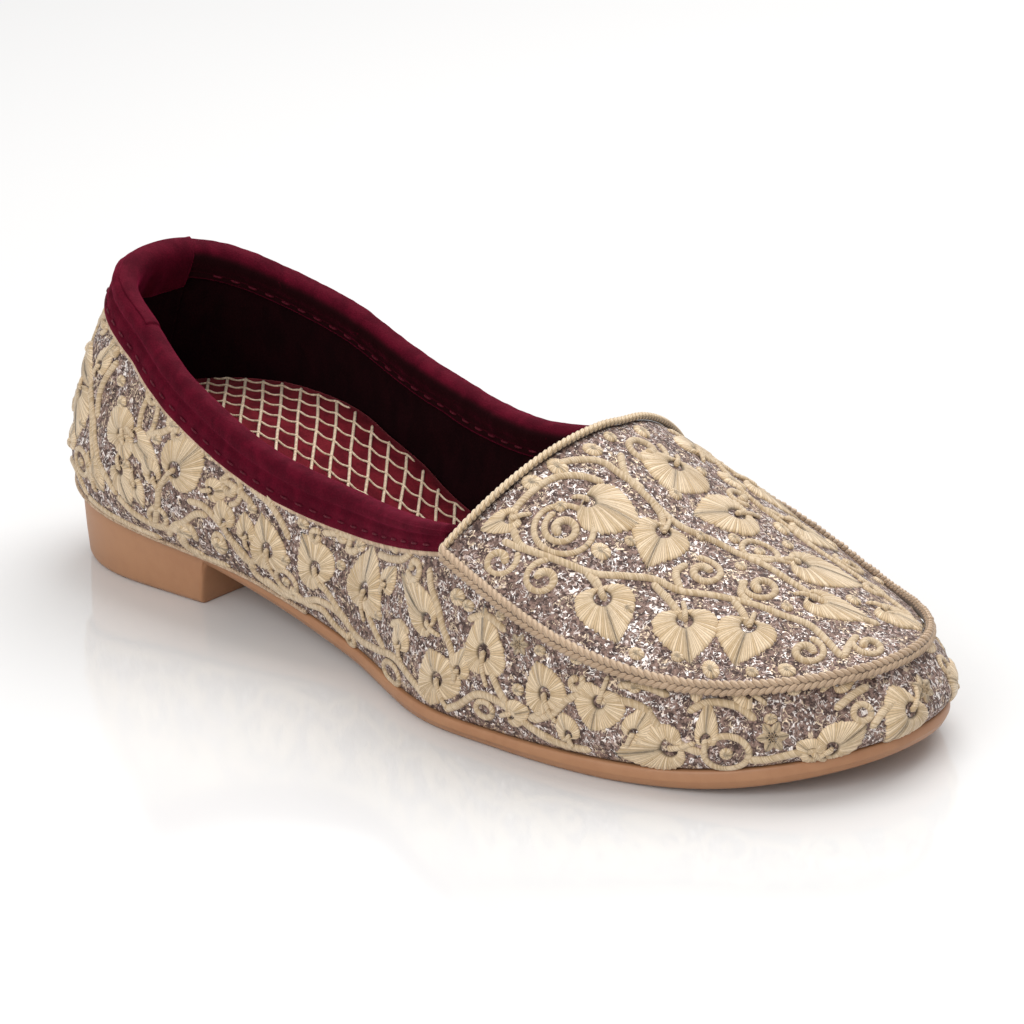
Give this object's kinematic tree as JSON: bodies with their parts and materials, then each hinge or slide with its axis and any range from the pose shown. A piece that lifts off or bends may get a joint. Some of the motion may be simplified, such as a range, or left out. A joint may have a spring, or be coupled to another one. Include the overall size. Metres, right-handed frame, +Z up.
{
  "type": "mojari shoe",
  "caption": "Right flat slip-on cloth shoe with a domed vamp, bound collar, padded footbed and a low moulded heel.",
  "frame": {"origin": "centre of the shoe's box, on the plane it stands on", "axes": "+X from heel to toe, +Y to the inner (medial) side of the foot, +Z up"},
  "size_m": [0.2482, 0.093, 0.0757],
  "materials": {
    "moulded_sole": "satin tan moulded rubber",
    "embroidered_cloth": "taupe mesh with metallic flecks under cream thread embroidery",
    "velvet_binding": "deep wine velvet with running stitches",
    "braided_cord": "braided beige cotton cord",
    "footbed_cloth": "wine velvet under a cream cord net"
  },
  "bodies": {
    "root": {"outsole": "moulded_sole", "upper": "embroidered_cloth", "collar_binding": "velvet_binding", "apron_cord": "braided_cord", "throat_cord": "braided_cord", "insole": "footbed_cloth"}
  },
  "joints": []
}
